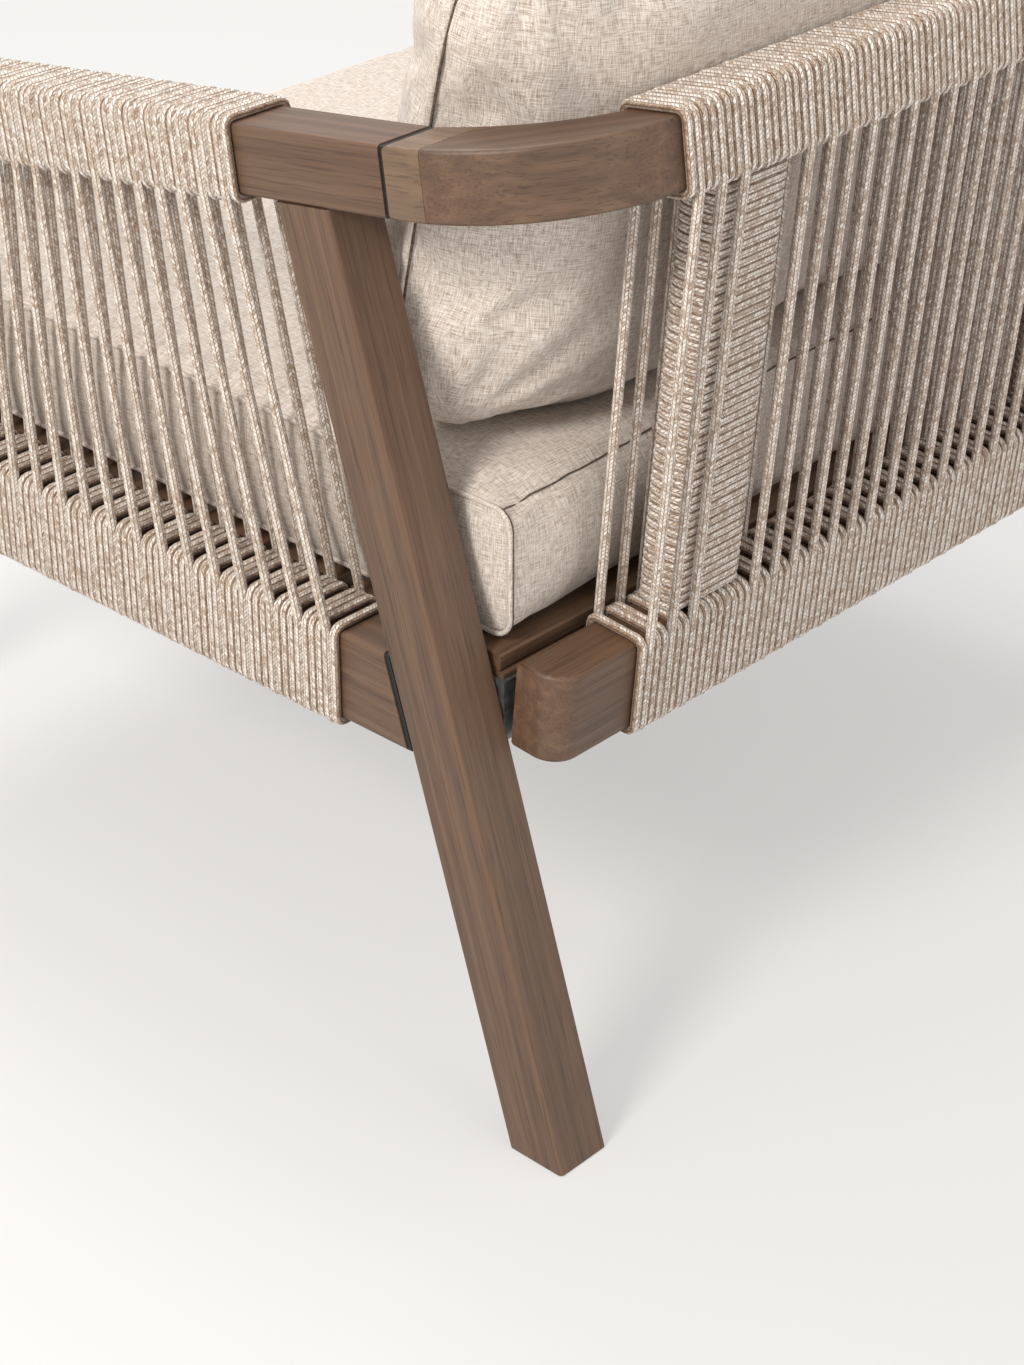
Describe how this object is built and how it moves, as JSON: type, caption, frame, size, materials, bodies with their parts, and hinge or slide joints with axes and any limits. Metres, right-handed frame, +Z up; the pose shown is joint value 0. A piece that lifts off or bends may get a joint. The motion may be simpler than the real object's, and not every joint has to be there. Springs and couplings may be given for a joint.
{
  "type": "wooden armchair",
  "caption": "Outdoor lounge armchair with a hardwood frame, rope-woven arms and back, slatted seat, loose seat and back cushions.",
  "frame": {"origin": "on the floor, under the middle of the chair's bounding box", "axes": "+Z up, the chair faces -Y, the sitter's left is +X"},
  "size_m": [0.8124, 0.8396, 0.8454],
  "materials": {
    "stained_timber": "satin stained hardwood",
    "slat_timber": "matt stained hardwood",
    "braided_rope": "braided melange rope",
    "cushion_fabric": "slub weave upholstery",
    "black_plastic": "moulded",
    "steel": "zinc plated"
  },
  "bodies": {
    "frame": {"rear_leg_left": "stained_timber", "rear_leg_right": "stained_timber", "front_leg_left": "stained_timber", "front_leg_right": "stained_timber", "rear_foot_glide_left": "black_plastic", "rear_foot_glide_right": "black_plastic", "front_foot_glide_left": "black_plastic", "front_foot_glide_right": "black_plastic", "arm_rail_left": "stained_timber", "arm_rail_right": "stained_timber", "crest_end_block_left": "stained_timber", "crest_end_block_right": "stained_timber", "crest_corner_left": "stained_timber", "crest_corner_right": "stained_timber", "crest_rail": "stained_timber", "crest_spacer_left": "black_plastic", "crest_spacer_right": "black_plastic", "crest_bolt_left": "steel", "crest_bolt_right": "steel", "side_rail_left": "stained_timber", "side_rail_right": "stained_timber", "rear_rail_spacer_left": "black_plastic", "rear_rail_spacer_right": "black_plastic", "front_rail_spacer_left": "black_plastic", "front_rail_spacer_right": "black_plastic", "rear_rail_dowel_left": "slat_timber", "rear_rail_dowel_right": "slat_timber", "front_rail_dowel_left": "slat_timber", "front_rail_dowel_right": "slat_timber", "lower_back_rail": "stained_timber", "back_post_left": "stained_timber", "back_post_right": "stained_timber", "back_post_rope_left": "braided_rope", "back_post_rope_right": "braided_rope", "arm_rope_left": "braided_rope", "arm_rope_right": "braided_rope", "back_rope": "braided_rope", "rear_seat_rail": "stained_timber", "front_apron": "stained_timber", "seat_side_rail_left": "stained_timber", "seat_side_rail_right": "stained_timber", "seat_slat_1": "slat_timber", "seat_slat_2": "slat_timber", "seat_slat_3": "slat_timber", "seat_slat_4": "slat_timber", "seat_slat_5": "slat_timber", "seat_slat_6": "slat_timber", "seat_slat_7": "slat_timber", "seat_slat_8": "slat_timber", "seat_slat_9": "slat_timber", "seat_bracket_left": "steel", "seat_bracket_right": "steel", "back_rail_standoff_left": "black_plastic", "back_rail_standoff_right": "black_plastic"},
    "seat_cushion": {"seat_cushion": "cushion_fabric"},
    "back_cushion": {"back_cushion": "cushion_fabric"}
  },
  "joints": [
    {"name": "seat_cushion_lift", "type": "slide", "parent": "frame", "child": "seat_cushion", "axis": [0, 0, 1], "range_m": [0, 0.18]},
    {"name": "back_cushion_lift", "type": "slide", "parent": "seat_cushion", "child": "back_cushion", "axis": [0, 0, 1], "range_m": [0, 0.35]}
  ]
}
